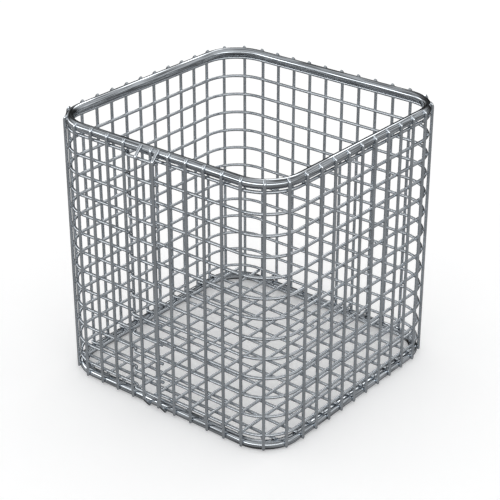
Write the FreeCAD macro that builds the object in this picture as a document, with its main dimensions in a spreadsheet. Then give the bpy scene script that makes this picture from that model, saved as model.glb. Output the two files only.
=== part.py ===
"""Square open-topped wire mesh container of welded round wire.

One sheet of mesh is wrapped round into a rounded square and overlaps itself on the
front wall, where its end is lapped outside its start. A thick rod ring closes the
rim and another the bottom edge, and the upright wires are bent over both. A flat mesh
of crossing wires lies on the bottom rod.

Frame: millimetres, +Z up, the lapped wall is the front (-Y), and the origin is at the
bottom centre, on the surface that the bottom rod stands on.
"""
import FreeCAD, Part
import math
import os
import re
import Sketcher

DIMENSIONS = {
    "pitch": 20.0,  # spacing of the mesh wires, both ways
    "wire": 3.0,  # mesh wire diameter
    "rod": 9.0,  # rim and bottom rod diameter
    "straight": 92.5,  # half the straight length of each wall
    "ring_bend": 37.0,  # corner radius of the ring wires' centre line
    "rim_weld": 1.0,  # how far an upright is pressed into the rim rod
    "base_weld": 0.5,  # how far it is pressed into the bottom rod
    "base_to_ring": 11.5,  # bottom rod's axis up to the lowest ring wire
    "ring_to_rim": 6.8,  # top ring wire up to the rim rod's axis
    "ring_count": 13,  # ring wires, one above the other
    "inner_uprights": 48,  # uprights of the mesh sheet that stand inside the lap
    "lapped_uprights": 2,  # its last uprights, outside its first ones
    "first_upright": -3.8,  # first upright's place along the front wall
    "rim_wrap": 60.0,  # degrees that an upright turns over the rim rod
    "foot_wrap": 18.0,  # degrees that it turns in under the bottom rod
    "ring_start": 2.5,  # ring wire's start, before the first upright
    "ring_tail": 3.0,  # ring wire's end, past the last upright
    "joggle_start": 1.0,  # a ring wire steps out this far past the last inner upright
    "joggle_turn": 70.0,  # degrees of each of that step's two bends
    "lap_rise": 6.4,  # a lapped upright's upper bend to the rim rod's axis
    "lap_drop": 7.7,  # its lower bend to the bottom rod's axis
    "base_wires": 12,  # bottom wires, each way
    "base_pitch": 20.55,  # spacing of the bottom wires, both ways
    "base_end_gap": 1.0,  # bottom wire's end to the uprights
}
SHEET = "Dimensions"

# Lengths worked out from the sheet, as expression text.
LAP_STEP = "(2 * wire)"
UPRIGHT_BEND = "(ring_bend + wire)"
RIM_TURN = "(rod / 2 + wire / 2 - rim_weld)"
RIM_BEND = f"({UPRIGHT_BEND} - {RIM_TURN})"
FOOT_TURN = "(rod / 2 + wire / 2 - base_weld)"
BASE_BEND = f"({UPRIGHT_BEND} - {FOOT_TURN})"
BASE_ROD_Z = "(rod / 2)"
LOW_RING_Z = f"({BASE_ROD_Z} + base_to_ring)"
TOP_RING_Z = f"({LOW_RING_Z} + (ring_count - 1) * pitch)"
RIM_ROD_Z = f"({TOP_RING_Z} + ring_to_rim)"
CORNER_ARC = "(ring_bend * pi / 2)"
QUARTER = f"(2 * straight + {CORNER_ARC})"
LAST_INNER = f"(first_upright + (inner_uprights - 1) * pitch - 4 * {QUARTER})"
BEND_PITCH = "(pitch / ring_bend * 180 / pi)"
JOGGLE_RADIUS = f"({LAP_STEP} / (2 - 2 * cos(joggle_turn)))"
BASE_END = f"({UPRIGHT_BEND} - wire / 2 - base_end_gap)"
LINE = None

WALL_GROUPS = [
    "front_right_uprights",
    "right_uprights",
    "back_uprights",
    "left_uprights",
    "front_left_uprights",
]
CORNER_GROUPS = [
    "front_right_corner_uprights",
    "back_right_corner_uprights",
    "back_left_corner_uprights",
    "front_left_corner_uprights",
]
CORNER_CENTRES = [
    ("straight", "-straight"),
    ("straight", "straight"),
    ("-straight", "straight"),
    ("-straight", "-straight"),
]

doc = FreeCAD.newDocument("wire_mesh_container")


def make_sheet():
    """Fill the sheet with the driving dimensions, one alias each."""
    cells_sheet = doc.addObject("Spreadsheet::Sheet", SHEET)
    for row, (name, size) in enumerate(DIMENSIONS.items(), start=1):
        cells_sheet.set(f"A{row}", name)
        cells_sheet.set(f"B{row}", str(size))
        cells_sheet.setAlias(f"B{row}", name)
    doc.recompute()
    return cells_sheet


sheet = make_sheet()


def cells(text):
    """Turn each dimension's name in an expression into its cell of the sheet."""
    return re.sub(r"[a-z_]+", lambda word: cell_name(word.group()), text)


def cell_name(word):
    """Give the sheet's name for a dimension, and leave any other word."""
    return f"{SHEET}.{word}" if word in DIMENSIONS else word


def number(text):
    """Work out the same expression as a plain number."""
    return float(sheet.evalExpression(cells(text)))


def place(thing, x="0", y="0", z="0", turn="0"):
    """Bind a sub-part's Placement: its position, and its turn about +Z in degrees."""
    for axis, text in (("x", x), ("y", y), ("z", z)):
        thing.setExpression(f"Placement.Base.{axis}", cells(text))
    thing.Placement.Rotation = FreeCAD.Rotation(FreeCAD.Vector(0, 0, 1), 1)
    thing.setExpression("Placement.Rotation.Angle", cells(turn))


def origin_plane(body, role):
    """Find one of a body's own origin planes."""
    return next(item for item in body.Origin.OriginFeatures if item.Role == role)


def make_sketch(body, name, role, offset="0"):
    """Start a sketch on a body's origin plane, moved along the plane's normal."""
    sketch = body.newObject("Sketcher::SketchObject", name)
    sketch.AttachmentSupport = [(origin_plane(body, role), "")]
    sketch.MapMode = "FlatFace"
    sketch.setExpression("AttachmentOffset.Base.z", cells(offset))
    return sketch


def tilt_sketch(sketch, aside, angle):
    """Move a sketch along its plane's Y and turn it about its own X, in degrees."""
    sketch.AttachmentOffset.Rotation = FreeCAD.Rotation(FreeCAD.Vector(1, 0, 0), 1)
    sketch.setExpression("AttachmentOffset.Base.y", cells(aside))
    sketch.setExpression("AttachmentOffset.Rotation.Angle", cells(angle))


def fix_point(sketch, piece, end, x, y):
    """Fix one end of a sketch line or arc, or a circle's centre, to two expressions."""
    for kind, text in (("DistanceX", x), ("DistanceY", y)):
        index = sketch.addConstraint(Sketcher.Constraint(kind, piece, end, number(text)))
        sketch.setExpression(f"Constraints[{index}]", cells(text))


def fix_radius(sketch, piece, text):
    """Fix the radius of a sketch arc or circle to an expression."""
    index = sketch.addConstraint(Sketcher.Constraint("Radius", piece, number(text)))
    sketch.setExpression(f"Constraints[{index}]", cells(text))


def arc_between(start, end, radius, turn):
    """Give the arc from start to end, turning left for +1 and right for -1."""
    chord = end - start
    left = FreeCAD.Vector(-chord.y, chord.x, 0).normalize()
    rise = math.sqrt(max(radius**2 - (chord.Length / 2) ** 2, 0))
    centre = start + chord / 2 + left * rise * turn
    first, last = (start, end) if turn > 0 else (end, start)
    angles = [math.atan2(tip.y - centre.y, tip.x - centre.x) for tip in (first, last)]
    if angles[1] < angles[0]:
        angles[1] += 2 * math.pi
    circle = Part.Circle(centre, FreeCAD.Vector(0, 0, 1), radius)
    return Part.ArcOfCircle(circle, *angles)


def draw_path(sketch, points, pieces):
    """Draw a path through points. Each piece is LINE, or an arc's (radius, turn)."""
    spots = [FreeCAD.Vector(number(x), number(y), 0) for x, y in points]
    closed = len(pieces) == len(points)
    for index, piece in enumerate(pieces):
        start, end = spots[index], spots[(index + 1) % len(spots)]
        if piece is LINE:
            sketch.addGeometry(Part.LineSegment(start, end))
        else:
            sketch.addGeometry(arc_between(start, end, number(piece[0]), piece[1]))
            fix_radius(sketch, index, piece[0])
        first, last = (2, 1) if piece is not LINE and piece[1] < 0 else (1, 2)
        fix_point(sketch, index, first, *points[index])
        if index == len(pieces) - 1 and not closed:
            fix_point(sketch, index, last, *points[index + 1])
    join_pieces(sketch, pieces, closed)


def join_pieces(sketch, pieces, closed):
    """Join each piece's far end to the next piece's near end."""
    count = len(pieces)
    for index in range(count if closed else count - 1):
        after = (index + 1) % count
        far = 1 if pieces[index] is not LINE and pieces[index][1] < 0 else 2
        near = 2 if pieces[after] is not LINE and pieces[after][1] < 0 else 1
        sketch.addConstraint(Sketcher.Constraint("Coincident", index, far, after, near))


def draw_section(sketch, x, y, radius):
    """Draw the round section of a wire or rod."""
    spot = FreeCAD.Vector(number(x), number(y), 0)
    sketch.addGeometry(Part.Circle(spot, FreeCAD.Vector(0, 0, 1), number(radius)))
    fix_point(sketch, 0, 3, x, y)
    fix_radius(sketch, 0, radius)


def sweep(body, section, path):
    """Sweep a round section along its path."""
    pipe = body.newObject("PartDesign::AdditivePipe", f"{body.Name}_pipe")
    pipe.Profile = section
    pipe.Spine = path
    body.Tip = pipe
    for sketch in (section, path):
        sketch.Visibility = False
    return pipe


def make_rod_ring(label, height, bend):
    """Make a rod bent to a rounded square and butt-welded into a ring."""
    body = doc.addObject("PartDesign::Body", label)
    path = make_sketch(body, f"{label}_path", "XY_Plane")
    wall = f"(straight + {bend})"
    arc = (bend, 1)
    points = [
        ("-straight", f"-{wall}"),
        ("straight", f"-{wall}"),
        (wall, "-straight"),
        (wall, "straight"),
        ("straight", wall),
        ("-straight", wall),
        (f"-{wall}", "straight"),
        (f"-{wall}", "-straight"),
    ]
    draw_path(path, points, [LINE, arc] * 4)
    section = make_sketch(body, f"{label}_section", "YZ_Plane", "-straight")
    draw_section(section, f"-{wall}", "0", "rod / 2")
    sweep(body, section, path)
    place(body, z=height)
    return body


def make_ring_wire(label, height):
    """Make a ring wire: once round inside the uprights, then out over its own start."""
    body = doc.addObject("PartDesign::Body", label)
    path = make_sketch(body, f"{label}_path", "XY_Plane")
    wall = "(straight + ring_bend)"
    lapped = f"({wall} + {LAP_STEP})"
    start = "first_upright - ring_start"
    step_start = f"({LAST_INNER} + joggle_start)"
    half_step = f"({JOGGLE_RADIUS} * sin(joggle_turn))"
    arc = ("ring_bend", 1)
    points = [
        (start, f"-{wall}"),
        ("straight", f"-{wall}"),
        (wall, "-straight"),
        (wall, "straight"),
        ("straight", wall),
        ("-straight", wall),
        (f"-{wall}", "straight"),
        (f"-{wall}", "-straight"),
        ("-straight", f"-{wall}"),
        (step_start, f"-{wall}"),
        (f"{step_start} + {half_step}", f"-{wall} - wire"),
        (f"{step_start} + 2 * {half_step}", f"-{lapped}"),
        (f"{LAST_INNER} + lapped_uprights * pitch + ring_tail", f"-{lapped}"),
    ]
    step = [(JOGGLE_RADIUS, -1), (JOGGLE_RADIUS, 1)]
    draw_path(path, points, [LINE, arc] * 4 + [LINE] + step + [LINE])
    section = make_sketch(body, f"{label}_section", "YZ_Plane", start)
    draw_section(section, f"-{wall}", "0", "wire / 2")
    sweep(body, section, path)
    place(body, z=height)
    return body


def foot_spot(angle):
    """Give the point where an upright lies on the bottom rod, below its middle."""
    return (
        f"-{BASE_BEND} - {FOOT_TURN} * cos({angle})",
        f"{BASE_ROD_Z} - {FOOT_TURN} * sin({angle})",
    )


def rim_spot(angle):
    """Give the point where an upright lies on the rim rod, above its middle."""
    return (
        f"-{RIM_BEND} - {RIM_TURN} * cos({angle})",
        f"{RIM_ROD_Z} + {RIM_TURN} * sin({angle})",
    )


def upright_path():
    """Give an upright's foot angle and its path, from the bottom rod to the rim rod.

    A point's first number is the way out from the corner's centre, negative outward.
    """
    points = [
        foot_spot("foot_wrap"),
        (f"-{UPRIGHT_BEND}", BASE_ROD_Z),
        (f"-{UPRIGHT_BEND}", RIM_ROD_Z),
        rim_spot("rim_wrap"),
    ]
    return "foot_wrap", points, [(FOOT_TURN, -1), LINE, (RIM_TURN, -1)]


def lapped_upright_path():
    """Give a lapped upright's foot angle and path: it leans in to both rods."""
    lapped = f"({UPRIGHT_BEND} + {LAP_STEP})"
    rim_lean = f"atan({LAP_STEP} / lap_rise)"
    foot_lean = f"atan({LAP_STEP} / lap_drop)"
    rim_bend_z = f"({RIM_ROD_Z} - lap_rise)"
    foot_bend_z = f"({BASE_ROD_Z} + lap_drop)"
    rim_out, rim_up = rim_spot(rim_lean)
    foot_out, foot_up = foot_spot(foot_lean)
    points = [
        (foot_out, foot_up),
        (f"{foot_out} - {LAP_STEP}", f"{foot_up} + lap_drop"),
        (f"-{lapped}", foot_bend_z),
        (f"-{lapped}", rim_bend_z),
        (f"{rim_out} - {LAP_STEP}", f"{rim_up} - lap_rise"),
        (rim_out, rim_up),
        rim_spot("rim_wrap"),
    ]
    foot_bend = (FOOT_TURN, -1)
    rim_bend = (RIM_TURN, -1)
    return foot_lean, points, [LINE, foot_bend, LINE, rim_bend, LINE, rim_bend]


def make_upright(label, shape):
    """Make the first upright of a group, standing at its body's X = 0."""
    body = doc.addObject("PartDesign::Body", label)
    body.AllowCompound = True
    foot_angle, points, pieces = shape
    path = make_sketch(body, f"{label}_path", "YZ_Plane")
    draw_path(path, points, pieces)
    out, up = foot_spot(foot_angle)
    section = make_sketch(body, f"{label}_section", "XY_Plane", up)
    tilt_sketch(section, out, foot_angle)
    draw_section(section, "0", "0", "wire / 2")
    sweep(body, section, path)
    return body


def repeat_along_wall(body, count):
    """Repeat a body's upright along the wall, one pitch apart."""
    row = body.newObject("PartDesign::LinearPattern", f"{body.Name}_row")
    row.Originals = [body.Tip]
    row.Direction = (origin_plane(body, "X_Axis"), [""])
    row.Occurrences = count
    row.setExpression("Length", cells(f"{count - 1} * pitch"))
    body.Tip = row


def repeat_round_corner(body, count):
    """Repeat a body's upright round the corner, one pitch apart at the ring wires."""
    fan = body.newObject("PartDesign::PolarPattern", f"{body.Name}_fan")
    fan.Originals = [body.Tip]
    fan.Axis = (origin_plane(body, "Z_Axis"), [""])
    fan.Occurrences = count
    fan.setExpression("Angle", cells(f"{count - 1} * {BEND_PITCH}"))
    body.Tip = fan


def press_onto(wires, label, others):
    """Seat wires in the rods or wires that they are pressed onto and welded to."""
    seated = doc.addObject("Part::Cut", label)
    seated.Base = wires
    seated.Tool = others
    return seated


def upright_numbers(start, end):
    """Give the first inner upright and the count between two places along the mesh."""
    pitch = number("pitch")
    first = max(math.ceil((number(start) - number("first_upright")) / pitch), 0)
    last = math.floor((number(end) - number("first_upright")) / pitch)
    last = min(last, int(number("inner_uprights")) - 1)
    return first, last - first + 1


def make_wall_uprights(label, wall, first, count, shape, rods):
    """Make a row of uprights on a wall. Walls count 0 to 3 from the front, 4 again."""
    body = make_upright(f"{label}_bent", shape)
    repeat_along_wall(body, count)
    along = f"(first_upright + {first} * pitch - {wall} * {QUARTER})"
    spots = [
        (along, "-straight"),
        ("straight", along),
        (f"-{along}", "straight"),
        ("-straight", f"-{along}"),
    ]
    x, y = spots[wall % 4]
    place(body, x, y, turn=str(90 * wall))
    return press_onto(body, label, rods)


def make_corner_uprights(label, corner, first, count, rods):
    """Make the uprights of a corner. Corner 0 follows the front wall."""
    body = make_upright(f"{label}_bent", upright_path())
    repeat_round_corner(body, count)
    into_corner = f"(first_upright + {first} * pitch - {corner} * {QUARTER} - straight)"
    turn = f"90 * {corner} + {into_corner} / ring_bend * 180 / pi"
    x, y = CORNER_CENTRES[corner]
    place(body, x, y, turn=turn)
    return press_onto(body, label, rods)


def make_base_wire(label, aside, height, turn):
    """Make a straight bottom wire, the given way aside from the middle."""
    wire = doc.addObject("Part::Cylinder", label)
    past_straight = f"max(0; abs({aside}) + wire / 2 - straight)"
    half = f"(straight + sqrt(pow({BASE_END}; 2) - pow({past_straight}; 2)))"
    wire.setExpression("Radius", cells("wire / 2"))
    wire.setExpression("Height", cells(f"2 * {half}"))
    along, across = (f"-{half}", aside) if turn == 0 else (aside, f"-{half}")
    axis = FreeCAD.Vector(1, 0, 0) if turn == 0 else FreeCAD.Vector(0, 1, 0)
    wire.Placement.Rotation = FreeCAD.Rotation(FreeCAD.Vector(0, 0, 1), axis)
    for letter, text in (("x", along), ("y", across), ("z", height)):
        wire.setExpression(f"Placement.Base.{letter}", cells(text))
    return wire


def make_walls(rods):
    """Make every group of inner uprights, wall by wall and corner by corner."""
    groups = []
    for wall, label in enumerate(WALL_GROUPS):
        middle = f"{wall} * {QUARTER}"
        first, count = upright_numbers(f"{middle} - straight", f"{middle} + straight")
        shape = upright_path()
        groups.append(make_wall_uprights(label, wall, first, count, shape, rods))
    for corner, label in enumerate(CORNER_GROUPS):
        start = f"{corner} * {QUARTER} + straight"
        first, count = upright_numbers(start, f"{start} + {CORNER_ARC}")
        groups.append(make_corner_uprights(label, corner, first, count, rods))
    return groups


def make_base_mesh():
    """Make the bottom's crossing wires, pressed together where they are welded.

    The X wires lie on the bottom rod, and the Y wires under the lowest ring wire.
    """
    wires = []
    lower = f"({BASE_ROD_Z} + rod / 2 + wire / 2)"
    upper = f"({LOW_RING_Z} - wire)"
    numbers = range(int(number("base_wires")))
    asides = [f"({index} - (base_wires - 1) / 2) * base_pitch" for index in numbers]
    for index, aside in enumerate(asides, start=1):
        wires.append(make_base_wire(f"base_wire_x_{index:02d}", aside, lower, 0))
    laid = doc.addObject("Part::Compound", "base_wires_x")
    laid.Links = list(wires)
    for index, aside in enumerate(asides, start=1):
        label = f"base_wire_y_{index:02d}"
        wire = make_base_wire(f"{label}_round", aside, upper, 90)
        wires.append(press_onto(wire, label, laid))
    return wires


def make_container():
    """Make every sub-part."""
    rim_rod = make_rod_ring("rim_rod", RIM_ROD_Z, RIM_BEND)
    base_rod = make_rod_ring("base_rod", BASE_ROD_Z, BASE_BEND)
    rods = doc.addObject("Part::Compound", "rods")
    rods.Links = [rim_rod, base_rod]
    pieces = [rim_rod, base_rod]
    for index in range(int(number("ring_count"))):
        height = f"{TOP_RING_Z} - {index} * pitch"
        pieces.append(make_ring_wire(f"ring_wire_{index + 1:02d}", height))
    pieces += make_walls(rods)
    first, count = int(number("inner_uprights")), int(number("lapped_uprights"))
    shape = lapped_upright_path()
    pieces.append(make_wall_uprights("lapped_uprights", 4, first, count, shape, rods))
    return pieces + make_base_mesh()


def check(pieces):
    """Stop if any object failed to build, or a sub-part has no sound shape."""
    for item in doc.Objects:
        if {"Invalid", "Error"} & set(item.State):
            raise RuntimeError(f"{item.Label} failed: {item.State}")
    for piece in pieces:
        if piece.Shape.isNull() or not piece.Shape.isValid():
            raise RuntimeError(f"{piece.Label} has no valid shape")


def export(pieces):
    """Write each sub-part to its own file."""
    os.makedirs("parts", exist_ok=True)
    for piece in pieces:
        piece.Shape.exportStep(os.path.join("parts", f"{piece.Label}.step"))


pieces = make_container()
doc.recompute()
check(pieces)
export(pieces)
for piece in pieces:
    solids = len(piece.Shape.Solids)
    print(f"{piece.Label}: {solids} solids, {piece.Shape.Volume:.0f} mm3")
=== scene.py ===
"""Looks of the welded wire container: polished steel with painted reflection lines along its rods, on a
pale studio floor.

The CAD wires and rods stay as they are and get a procedural steel. The weld beads where
the wires cross are added here, at places worked out from the CAD nodes.
"""

import math

import bmesh
import bpy
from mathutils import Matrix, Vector


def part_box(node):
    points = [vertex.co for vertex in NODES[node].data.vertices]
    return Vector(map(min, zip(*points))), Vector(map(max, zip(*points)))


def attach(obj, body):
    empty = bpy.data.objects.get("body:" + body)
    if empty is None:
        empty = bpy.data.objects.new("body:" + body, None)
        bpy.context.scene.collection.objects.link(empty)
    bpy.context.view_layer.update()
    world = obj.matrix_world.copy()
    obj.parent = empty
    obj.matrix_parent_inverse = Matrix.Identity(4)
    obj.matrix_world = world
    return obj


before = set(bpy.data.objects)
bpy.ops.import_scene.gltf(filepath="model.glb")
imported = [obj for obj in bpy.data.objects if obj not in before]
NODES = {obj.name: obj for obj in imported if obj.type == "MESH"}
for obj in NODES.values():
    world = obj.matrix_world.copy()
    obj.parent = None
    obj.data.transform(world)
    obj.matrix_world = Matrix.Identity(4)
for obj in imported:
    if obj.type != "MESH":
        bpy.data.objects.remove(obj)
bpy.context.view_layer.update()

# The camera, in degrees and metres, its lens and sensor in millimetres
CAMERA_AZIMUTH = 38.98
CAMERA_ELEVATION = 26.81
CAMERA_DISTANCE = 1.4322
CAMERA_AIM = Vector((0.0, 0.0, 0.1185))
CAMERA_LENS = 106.4
SENSOR_WIDTH = 36.0

# The floor, in metres, and its light
FLOOR_SIZE = 12.0
FLOOR_DROP = 0.0002
FLOOR_GREY = 0.9
FLOOR_GLOW = 0.23
SOFT_LIGHT = 2.83
SOFT_LIGHT_SPREAD = 165.0

# Brightness of the room by the sine of the elevation, on the camera's side and on the far
# side, and where one fades into the other by the cosine of the angle to the camera's azimuth
NEAR_ROOM = [
    (-1.0, 0.04),
    (-0.88, 0.12),
    (-0.66, 0.32),
    (0.06, 0.37),
    (0.36, 0.62),
    (0.72, 0.60),
    (1.0, 0.50),
]
FAR_ROOM = [
    (-1.0, 0.05),
    (-0.6, 0.03),
    (0.30, 0.03),
    (0.42, 0.06),
    (0.66, 0.45),
    (1.0, 0.50),
]
ROOM_FADE = (-0.80, -0.40)

# A long lamp, by the sine of the elevation. It is brightest at its azimuth in degrees, and
# fades in by the cosine of the angle from there.
LAMP = [(0.14, 0.0), (0.20, 3.4), (0.30, 3.0), (0.36, 0.0)]
LAMP_AZIMUTH = 4.0
LAMP_FADE = (-0.9, 0.4)
BRIGHTEST = max(level for _, level in NEAR_ROOM + FAR_ROOM + LAMP)

# A round window behind the object, in degrees: its middle, and how far from there its dim
# edge and its full light are
WINDOW_AZIMUTH = 208.0
WINDOW_ELEVATION = 40.0
WINDOW_EDGE = 12.35
WINDOW_CORE = 6.65
WINDOW_LEVEL = 3.0

# How far each grey leans to red, where below zero is to blue
ROOM_WARMTH = -0.012
FLOOR_WARMTH = -0.005
STEEL_WARMTH = -0.05

# Noise in the metal, per metre: the polish, the grain, and the heat tint and grain of a weld
POLISH_SCALE = 160.0
GRAIN_SCALE = 1500.0
WELD_TINT_SCALE = 60.0
WELD_GRAIN_SCALE = 2500.0
BUMP_DEPTH = 0.0001  # in metres

# The painted reflection lines along a rod, which stand in for the mirrored wires: how fast they change
# along it, per metre, and round it
LINE_DRIFT = 25.0
LINE_DENSITY = 9.0

# The wire and the welds where wires cross, in metres
WIRE = 0.003
STRAIGHT = 0.0925  # half the straight length of each wall, so where the corners' centres are
WELD_REACH = 0.00145
WELD_THICKNESS = 0.0006
WELD_SWELL = 0.10

WELD_GREY = (0.36, 0.37, 0.39, 1.0)
WELD_STRAW = (0.34, 0.31, 0.28, 1.0)


class Nodes:
    """A small helper that adds and links shader nodes."""

    def __init__(self, tree):
        self.tree = tree
        self.tree.nodes.clear()

    def add(self, kind, inputs=None, **settings):
        """Add a node. An input is a number, a colour or another node's output socket."""
        node = self.tree.nodes.new(kind)
        for name, value in settings.items():
            setattr(node, name, value)
        for name, value in (inputs or {}).items():
            if isinstance(value, bpy.types.NodeSocket):
                self.tree.links.new(value, node.inputs[name])
            else:
                node.inputs[name].default_value = value
        return node

    def noise(self, place, scale, detail):
        """Noise at a place, about 0.3 to 0.7."""
        inputs = {"Vector": place, "Scale": scale, "Detail": detail}
        return self.add("ShaderNodeTexNoise", inputs).outputs["Fac"]

    def map_range(self, value, start, end, low=0.0, high=1.0, blend="LINEAR"):
        """Stretch a value from one range to another."""
        inputs = {"Value": value, "From Min": start, "From Max": end, "To Min": low, "To Max": high}
        return self.add("ShaderNodeMapRange", inputs, interpolation_type=blend).outputs["Result"]

    def vector(self, operation, inputs, output="Vector"):
        """Do a sum on vectors."""
        return self.add("ShaderNodeVectorMath", inputs, operation=operation).outputs[output]


def link(thing):
    """Put an object in the scene."""
    bpy.context.scene.collection.objects.link(thing)


def new_material(name):
    """A material with no nodes yet, and the helper that adds them."""
    material = bpy.data.materials.new(name)
    material.use_nodes = True
    return material, Nodes(material.node_tree)


def view_direction(azimuth, elevation):
    """Unit vector from the object to a camera at that azimuth and elevation, in degrees."""
    turn = math.radians(azimuth)
    rise = math.radians(elevation)
    flat = math.cos(rise)
    return Vector((flat * math.sin(turn), -flat * math.cos(turn), math.sin(rise)))


def grey(value, warmth=0.0):
    """An RGBA colour of that brightness, slightly blue where warmth is below zero."""
    return (value * (1 + warmth), value, value * (1 - warmth), 1.0)


def add_camera():
    """Set up the camera that the main picture is taken with."""
    data = bpy.data.cameras.new("camera")
    data.lens = CAMERA_LENS
    data.sensor_width = SENSOR_WIDTH
    data.clip_end = 50.0
    camera = bpy.data.objects.new("camera", data)
    direction = view_direction(CAMERA_AZIMUTH, CAMERA_ELEVATION)
    camera.location = CAMERA_AIM + CAMERA_DISTANCE * direction
    camera.rotation_euler = direction.to_track_quat("Z", "Y").to_euler()
    link(camera)
    bpy.context.scene.camera = camera


def room_ramp(n, share, levels):
    """A ramp of brightnesses, as shares of the brightest, over the sine of the elevation."""
    ramp = n.add("ShaderNodeValToRGB", {"Fac": share})
    stops = ramp.color_ramp.elements
    while len(stops) > 1:
        stops.remove(stops[-1])
    for index, (sine, level) in enumerate(levels):
        stop = stops[0] if index == 0 else stops.new((sine + 1) / 2)
        stop.position = (sine + 1) / 2
        stop.color = grey(level / BRIGHTEST, ROOM_WARMTH)
    return ramp.outputs["Color"]


def room_light(n, direction):
    """The room's grey walls and ceiling, darker behind the object."""
    height = n.add("ShaderNodeSeparateXYZ", {"Vector": direction}).outputs["Z"]
    share = n.map_range(height, -1.0, 1.0)
    camera_side = n.vector("DOT_PRODUCT", {0: direction, 1: view_direction(CAMERA_AZIMUTH, 0)}, "Value")
    nearness = n.map_range(camera_side, *ROOM_FADE, blend="SMOOTHSTEP")
    far, near = room_ramp(n, share, FAR_ROOM), room_ramp(n, share, NEAR_ROOM)
    room = n.add("ShaderNodeMix", {"Factor": nearness, 6: far, 7: near}, data_type="RGBA")
    return room.outputs[2], share


def window_light(n, direction):
    """The window's light as a share of the brightest."""
    middle = view_direction(WINDOW_AZIMUTH, WINDOW_ELEVATION)
    nearness = n.vector("DOT_PRODUCT", {0: direction, 1: middle}, "Value")
    edge, core = (math.cos(math.radians(angle)) for angle in (WINDOW_EDGE, WINDOW_CORE))
    return n.map_range(nearness, edge, core, high=WINDOW_LEVEL / BRIGHTEST, blend="SMOOTHSTEP")


def lamp_light(n, direction, share):
    """The lamp's light, weaker away from its azimuth."""
    nearness = n.vector("DOT_PRODUCT", {0: direction, 1: view_direction(LAMP_AZIMUTH, 0)}, "Value")
    weight = n.map_range(nearness, *LAMP_FADE, blend="SMOOTHSTEP")
    return n.vector("SCALE", {0: room_ramp(n, share, LAMP), "Scale": weight})


def add_world():
    """A studio that only the metal sees, and white where the camera sees past the floor."""
    world = bpy.data.worlds.new("studio")
    world.use_nodes = True
    world.cycles_visibility.diffuse = False
    bpy.context.scene.world = world
    n = Nodes(world.node_tree)
    direction = n.add("ShaderNodeTexCoord").outputs["Generated"]
    room, share = room_light(n, direction)
    windowed = n.vector("MAXIMUM", {0: room, 1: window_light(n, direction)})
    lit = n.vector("ADD", {0: windowed, 1: lamp_light(n, direction, share)})
    studio = n.add("ShaderNodeBackground", {"Color": lit, "Strength": BRIGHTEST})
    white = n.add("ShaderNodeBackground", {"Color": grey(1.0), "Strength": 1.0})
    camera_sees = n.add("ShaderNodeLightPath").outputs["Is Camera Ray"]
    shaders = {1: studio.outputs["Background"], 2: white.outputs["Background"]}
    seen = n.add("ShaderNodeMixShader", {"Fac": camera_sees, **shaders})
    n.add("ShaderNodeOutputWorld", {"Surface": seen.outputs["Shader"]})


def add_soft_light():
    """A wide soft light from straight above, which the metal doesn't mirror."""
    data = bpy.data.lights.new("soft_light", "SUN")
    data.energy = SOFT_LIGHT
    data.angle = math.radians(SOFT_LIGHT_SPREAD)
    light = bpy.data.objects.new("soft_light", data)
    light.visible_glossy = False
    link(light)


def floor_material():
    """Matt white that glows a little, so that the shadows stay soft and pale."""
    material, n = new_material("floor")
    shader = n.add(
        "ShaderNodeBsdfPrincipled",
        {
            "Base Color": grey(FLOOR_GREY),
            "Roughness": 0.9,
            "Specular IOR Level": 0.0,
            "Emission Color": grey(1.0, FLOOR_WARMTH),
            "Emission Strength": FLOOR_GLOW,
        },
    )
    n.add("ShaderNodeOutputMaterial", {"Surface": shader.outputs["BSDF"]})
    return material


def add_floor():
    """A wide floor just under the bottom rod."""
    half = FLOOR_SIZE / 2
    corners = [(-half, -half, 0), (half, -half, 0), (half, half, 0), (-half, half, 0)]
    mesh = bpy.data.meshes.new("floor")
    mesh.from_pydata(corners, [], [(0, 1, 2, 3)])
    mesh.materials.append(floor_material())
    floor = bpy.data.objects.new("floor", mesh)
    link(floor)
    floor.location.z = -FLOOR_DROP
    floor.visible_glossy = False


def finish_metal(n, colour, roughness, grain, bump_strength):
    """Give a metal its colour, its polish and the bump of its grain."""
    bump = n.add("ShaderNodeBump", {"Height": grain, "Strength": bump_strength, "Distance": BUMP_DEPTH})
    shader = n.add(
        "ShaderNodeBsdfPrincipled",
        {
            "Base Color": colour,
            "Metallic": 1.0,
            "Roughness": roughness,
            "Normal": bump.outputs["Normal"],
        },
    )
    n.add("ShaderNodeOutputMaterial", {"Surface": shader.outputs["BSDF"]})


def painted_reflection_lines(n, coordinates):
    """Painted reflection lines: noise in lines along a rod, because its normal's height only changes
    round the rod.
    """
    drift = n.vector("SCALE", {0: coordinates["Object"], "Scale": LINE_DRIFT})
    scaled = n.vector("SCALE", {0: coordinates["Normal"], "Scale": LINE_DENSITY})
    upward = n.add("ShaderNodeSeparateXYZ", {"Vector": scaled}).outputs["Z"]
    lines = n.add("ShaderNodeCombineXYZ", {"Z": upward}).outputs["Vector"]
    return n.noise(n.vector("ADD", {0: drift, 1: lines}), 1.0, 1.0)


def steel(name, brightness, roughness, painted_reflection_depth):
    """Polished stainless steel, slightly uneven, with fine lines of painted reflection along a rod."""
    material, n = new_material(name)
    coordinates = n.add("ShaderNodeTexCoord").outputs
    cloud = n.noise(coordinates["Object"], POLISH_SCALE, 3.0)
    grain = n.noise(coordinates["Object"], GRAIN_SCALE, 2.0)
    polish = n.map_range(cloud, 0.3, 0.7, roughness * 0.8, roughness * 1.25)
    # The tone is painted reflection: bands round the rod that stand in for the mirrored wires and room
    tone = n.map_range(painted_reflection_lines(n, coordinates), 0.42, 0.58, 1 - painted_reflection_depth, 1 + 0.3 * painted_reflection_depth)
    colour = n.vector("SCALE", {0: grey(brightness, STEEL_WARMTH)[:3], "Scale": tone})
    finish_metal(n, colour, polish, grain, 0.04)
    return material


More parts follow.
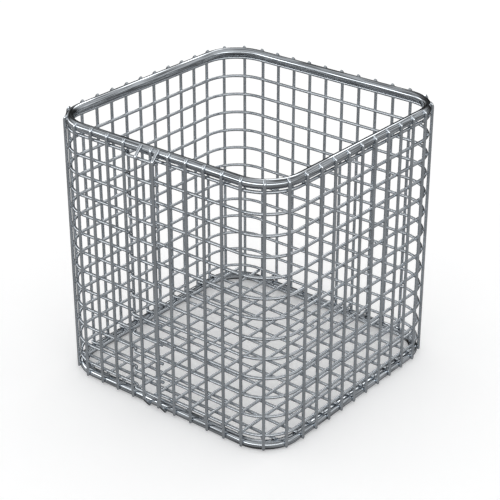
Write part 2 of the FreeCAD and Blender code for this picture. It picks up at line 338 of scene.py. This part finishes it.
def weld_steel():
    """Weld metal: a little darker and duller than the wire, tinted by heat in places."""
    material, n = new_material("weld_steel")
    place = n.add("ShaderNodeTexCoord").outputs["Object"]
    heat = n.noise(place, WELD_TINT_SCALE, 2.0)
    grain = n.noise(place, WELD_GRAIN_SCALE, 3.0)
    tint = n.add("ShaderNodeValToRGB", {"Fac": heat})
    cool, hot = tint.color_ramp.elements
    cool.position, hot.position = 0.4, 0.7
    cool.color, hot.color = WELD_GREY, WELD_STRAW
    rough = n.map_range(grain, 0.0, 1.0, 0.2, 0.5)
    finish_metal(n, tint.outputs["Color"], rough, grain, 0.4)
    return material


def dress(node, material):
    """Give a CAD node a material."""
    for material_slot in NODES[node].material_slots:
        material_slot.material = material


def islands(node):
    """The world positions of the points of each separate solid of a CAD node."""
    owner = NODES[node]
    points = [owner.matrix_world @ vertex.co for vertex in owner.data.vertices]
    keys = [point.to_tuple(6) for point in points]
    parent = {key: key for key in keys}

    def root(key):
        while parent[key] != key:
            parent[key] = parent[parent[key]]
            key = parent[key]
        return key

    for edge in owner.data.edges:
        first, last = (root(keys[index]) for index in edge.vertices)
        parent[first] = last
    groups = {}
    for key, point in zip(keys, points):
        groups.setdefault(root(key), []).append(point)
    return list(groups.values())


def upright_lines():
    """Each upright's axis in plan, and the unit vector out of the basket there."""
    for node in NODES:
        if not node.endswith("uprights"):
            continue
        for group in islands(node):
            middle = sum(group, Vector()) / len(group)
            past = [max(abs(middle[axis]) - STRAIGHT, 0) for axis in (0, 1)]
            outward = Vector((math.copysign(past[0], middle.x), math.copysign(past[1], middle.y), 0))
            outward.normalize()
            side = Vector((-outward.y, outward.x, 0))
            reach = max(point.dot(outward) for point in group) - WIRE / 2
            aside = [point.dot(side) for point in group]
            yield outward * reach + side * (min(aside) + max(aside)) / 2, outward


def middle_of(node):
    """The middle of a CAD node's box."""
    low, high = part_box(node)
    return (Vector(low) + Vector(high)) / 2


def wall_weld_spots():
    """Where each upright touches each ring wire, and the way out of the basket there."""
    heights = [middle_of(node).z for node in NODES if node.startswith("ring_wire")]
    for place, outward in upright_lines():
        for height in heights:
            yield Vector((place.x, place.y, height)) - outward * WIRE / 2, outward


def base_weld_spots():
    """Where the bottom wires cross, between their two layers, and the way up."""
    rows = [middle_of(node) for node in NODES if node.startswith("base_wire_x")]
    columns = [middle_of(node) for node in NODES if node.startswith("base_wire_y")]
    for row in rows:
        for column in columns:
            yield Vector((column.x, row.y, (row.z + column.z) / 2)), Vector((0, 0, 1))


def unit_ball():
    """The points and faces of a ball of radius 1."""
    form = bmesh.new()
    bmesh.ops.create_icosphere(form, subdivisions=2, radius=1.0)
    points = [vertex.co.copy() for vertex in form.verts]
    faces = [[vertex.index for vertex in face.verts] for face in form.faces]
    form.free()
    return points, faces


def bead_point(spot, number):
    """Move a ball's point to a flattened bead's, a little uneven and different on each bead."""
    swell = 1 + WELD_SWELL * math.sin(3 * spot.x + number) * math.cos(2 * spot.y + 2 * number)
    return Vector((spot.x * WELD_REACH, spot.y * WELD_REACH, spot.z * WELD_THICKNESS)) * swell


def add_welds(name, spots, material):
    """Add a bead at each spot, which is a place and a normal, all as one piece."""
    ball, sides = unit_ball()
    points, faces = [], []
    for number, (place, outward) in enumerate(spots):
        across = outward.to_track_quat("Z", "Y").to_matrix()
        points += [place + across @ bead_point(spot, number) for spot in ball]
        faces += [[index + number * len(ball) for index in side] for side in sides]
    mesh = bpy.data.meshes.new(name)
    mesh.from_pydata(points, [], faces)
    mesh.shade_smooth()
    mesh.materials.append(material)
    welds = bpy.data.objects.new(name, mesh)
    link(welds)
    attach(welds, "root")


add_camera()
add_world()
add_soft_light()
add_floor()
bpy.context.scene.view_settings.view_transform = "Standard"

rod_steel = steel("rod_steel", brightness=0.62, roughness=0.06, painted_reflection_depth=0.65)
wire_steel = steel("wire_steel", brightness=0.60, roughness=0.13, painted_reflection_depth=0.10)
weld = weld_steel()
for node in NODES:
    dress(node, rod_steel if node.endswith("_rod") else wire_steel)
add_welds("wall_welds", wall_weld_spots(), weld)
add_welds("base_welds", base_weld_spots(), weld)
